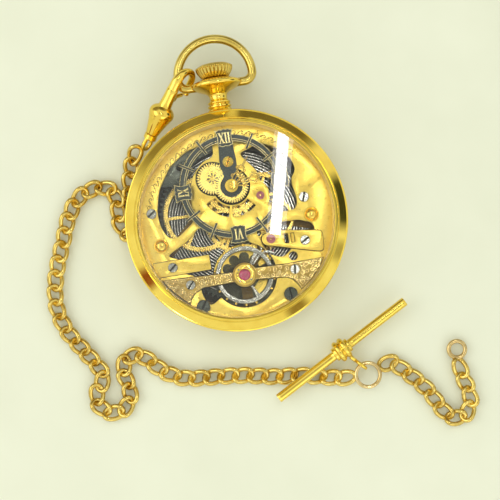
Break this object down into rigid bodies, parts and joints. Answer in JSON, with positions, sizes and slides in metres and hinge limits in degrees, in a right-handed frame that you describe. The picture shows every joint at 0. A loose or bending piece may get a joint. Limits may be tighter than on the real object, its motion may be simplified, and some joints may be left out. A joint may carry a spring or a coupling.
{
  "type": "pocket watch",
  "caption": "Open-face skeleton pocket watch with visible movement, bow, crown and a curb chain with clip and T-bar, lying on its back.",
  "frame": {"origin": "centre of the flat on the back cover, which the watch lies on", "axes": "+Z out of the crystal, +Y towards twelve o'clock and the pendant, +X towards three o'clock"},
  "size_m": [0.0942, 0.0963, 0.0132],
  "materials": {
    "polished_gold": "polished gold plate",
    "olive_gold": "polished gold plate, slightly olive",
    "matte_gold": "frosted gilt",
    "brass": "satin",
    "steel": "polished",
    "nickel": "satin",
    "dark_steel": "blackened",
    "ruby": "polished",
    "glass": "clear"
  },
  "bodies": {
    "case": {"case_band": "polished_gold", "pendant": "polished_gold", "bezel": "polished_gold", "crystal": "glass", "back_hinge_pin": "polished_gold", "back_plate": "matte_gold", "main_plate": "matte_gold", "setting_cover": "dark_steel", "pillars": "matte_gold", "plate_screws": "steel", "plate_domes": "polished_gold", "dog_screws": "dark_steel", "balance_bridge": "matte_gold", "balance_chaton": "polished_gold", "balance_jewel": "ruby", "bridge_screws": "steel", "escape_cock": "matte_gold", "train_jewels": "ruby", "left_bar": "matte_gold", "bar_screws": "steel", "dial_arm": "dark_steel", "dial_arm_screw": "polished_gold", "chapter_ring": "dark_steel", "hour_markers": "dark_steel", "clip_body": "polished_gold", "chain_long": "olive_gold", "jump_ring": "polished_gold", "t_bar_loop": "polished_gold", "chain_short": "olive_gold", "end_ring": "polished_gold"},
    "centre_train": {"centre_wheel": "brass", "cannon_pinion": "steel", "minute_hand": "brass"},
    "hour_train": {"hour_wheel": "brass", "hour_hand": "brass"},
    "minute_train": {"minute_wheel": "brass"},
    "third_train": {"third_wheel": "brass"},
    "fourth_train": {"fourth_wheel": "brass"},
    "escape_train": {"escape_wheel": "brass"},
    "intermediate_train": {"intermediate_wheel": "brass"},
    "great_train": {"great_wheel": "brass", "barrel_arbor": "steel"},
    "pallet": {"pallet_fork": "steel", "pallet_stones": "ruby"},
    "balance": {"balance_wheel": "nickel", "balance_staff": "steel", "hairspring": "steel"},
    "stem_slide": {"stem_sleeve": "steel"},
    "crown_assembly": {"crown": "olive_gold", "winding_stem": "steel", "winding_pinion": "steel"},
    "winding_train": {"crown_wheel": "steel"},
    "barrel": {"barrel_drum": "brass", "mainspring": "steel"},
    "ratchet_click": {"click": "steel"},
    "bow_ring": {"bow": "olive_gold"},
    "back": {"back_cover": "polished_gold"},
    "gate": {"clip_gate": "polished_gold"},
    "swivel_eye": {"clip_eye": "polished_gold"},
    "bar": {"t_bar": "polished_gold"}
  },
  "joints": [
    {"name": "centre_arbor", "type": "hinge", "parent": "case", "child": "centre_train", "pos_m": [0, 0.0077, 0.0072], "axis": [0, 0, -1], "continuous": true},
    {"name": "hour_wheel_turn", "type": "hinge", "parent": "case", "child": "hour_train", "pos_m": [0, 0.0077, 0.0098], "axis": [0, 0, -1], "continuous": true},
    {"name": "minute_wheel_turn", "type": "hinge", "parent": "case", "child": "minute_train", "pos_m": [-0.00398, 0.01, 0.0095], "axis": [0, 0, -1], "continuous": true},
    {"name": "third_wheel_turn", "type": "hinge", "parent": "case", "child": "third_train", "pos_m": [0.0061, 0.0048, 0.0076], "axis": [0, 0, -1], "continuous": true},
    {"name": "fourth_wheel_turn", "type": "hinge", "parent": "case", "child": "fourth_train", "pos_m": [0.0085, -0.0007, 0.0072], "axis": [0, 0, -1], "continuous": true},
    {"name": "escape_wheel_turn", "type": "hinge", "parent": "case", "child": "escape_train", "pos_m": [0.007, -0.0053, 0.0067], "axis": [0, 0, -1], "continuous": true},
    {"name": "intermediate_wheel_turn", "type": "hinge", "parent": "case", "child": "intermediate_train", "pos_m": [-0.0078, 0.00265, 0.0067], "axis": [0, 0, -1], "continuous": true},
    {"name": "great_wheel_turn", "type": "hinge", "parent": "case", "child": "great_train", "pos_m": [0, 0, 0.0062], "axis": [0, 0, -1], "continuous": true},
    {"name": "pallet_rock", "type": "hinge", "parent": "case", "child": "pallet", "pos_m": [0.00468, -0.00765, 0.0067], "axis": [0, 0, -1], "range_deg": [-5, 5]},
    {"name": "balance_swing", "type": "hinge", "parent": "case", "child": "balance", "pos_m": [0, -0.0124, 0.008], "axis": [0, 0, -1], "range_deg": [-270, 270], "stiffness_Nm_per_rad": 0.0000026},
    {"name": "crown_pull", "type": "slide", "parent": "case", "child": "stem_slide", "axis": [0, 1, 0], "range_m": [0, 0.001]},
    {"name": "crown_turn", "type": "hinge", "parent": "stem_slide", "child": "crown_assembly", "pos_m": [0, 0.034, 0.0068], "axis": [0, 1, 0], "continuous": true},
    {"name": "crown_wheel_turn", "type": "hinge", "parent": "case", "child": "winding_train", "pos_m": [0, 0.0194, 0.005], "axis": [0, 0, -1], "continuous": true},
    {"name": "barrel_turn", "type": "hinge", "parent": "case", "child": "barrel", "pos_m": [0, 0, 0.004], "axis": [0, 0, -1], "continuous": true},
    {"name": "click_lift", "type": "hinge", "parent": "case", "child": "ratchet_click", "pos_m": [0.0138, -0.0144, 0.0049], "axis": [0, 0, 1], "range_deg": [0, 10], "stiffness_Nm_per_rad": 0.00001},
    {"name": "bow_swing", "type": "hinge", "parent": "case", "child": "bow_ring", "pos_m": [0, 0.0313, 0.0068], "axis": [1, 0, 0], "range_deg": [-25, 25]},
    {"name": "back_cover_open", "type": "hinge", "parent": "case", "child": "back", "pos_m": [0, -0.0217, 0.0023], "axis": [-1, 0, 0], "range_deg": [0, 100]},
    {"name": "clip_gate_press", "type": "hinge", "parent": "case", "child": "gate", "pos_m": [-0.01028, 0.02983, 0.00757], "axis": [0.6367, -0.6641, 0.3918], "range_deg": [0, 8], "stiffness_Nm_per_rad": 0.0001},
    {"name": "clip_swivel", "type": "hinge", "parent": "case", "child": "swivel_eye", "pos_m": [-0.0162, 0.0227, 0.0051], "axis": [0.5489, 0.7472, 0.3746], "continuous": true},
    {"name": "t_bar_turn", "type": "hinge", "parent": "case", "child": "bar", "pos_m": [0.0194, -0.0325, 0.0035], "axis": [0.8746, 0.4848, 0], "continuous": true}
  ],
  "couplings": [
    {"joint": "hour_wheel_turn", "follows": "centre_arbor", "ratio": 0.083333},
    {"joint": "minute_wheel_turn", "follows": "centre_arbor", "ratio": -0.33333},
    {"joint": "third_wheel_turn", "follows": "centre_arbor", "ratio": -8},
    {"joint": "fourth_wheel_turn", "follows": "centre_arbor", "ratio": 60},
    {"joint": "escape_wheel_turn", "follows": "centre_arbor", "ratio": -600},
    {"joint": "intermediate_wheel_turn", "follows": "centre_arbor", "ratio": -0.1},
    {"joint": "great_wheel_turn", "follows": "centre_arbor", "ratio": 0.014286},
    {"joint": "crown_wheel_turn", "follows": "crown_turn", "ratio": 0.66667},
    {"joint": "barrel_turn", "follows": "crown_turn", "ratio": -0.064516}
  ]
}
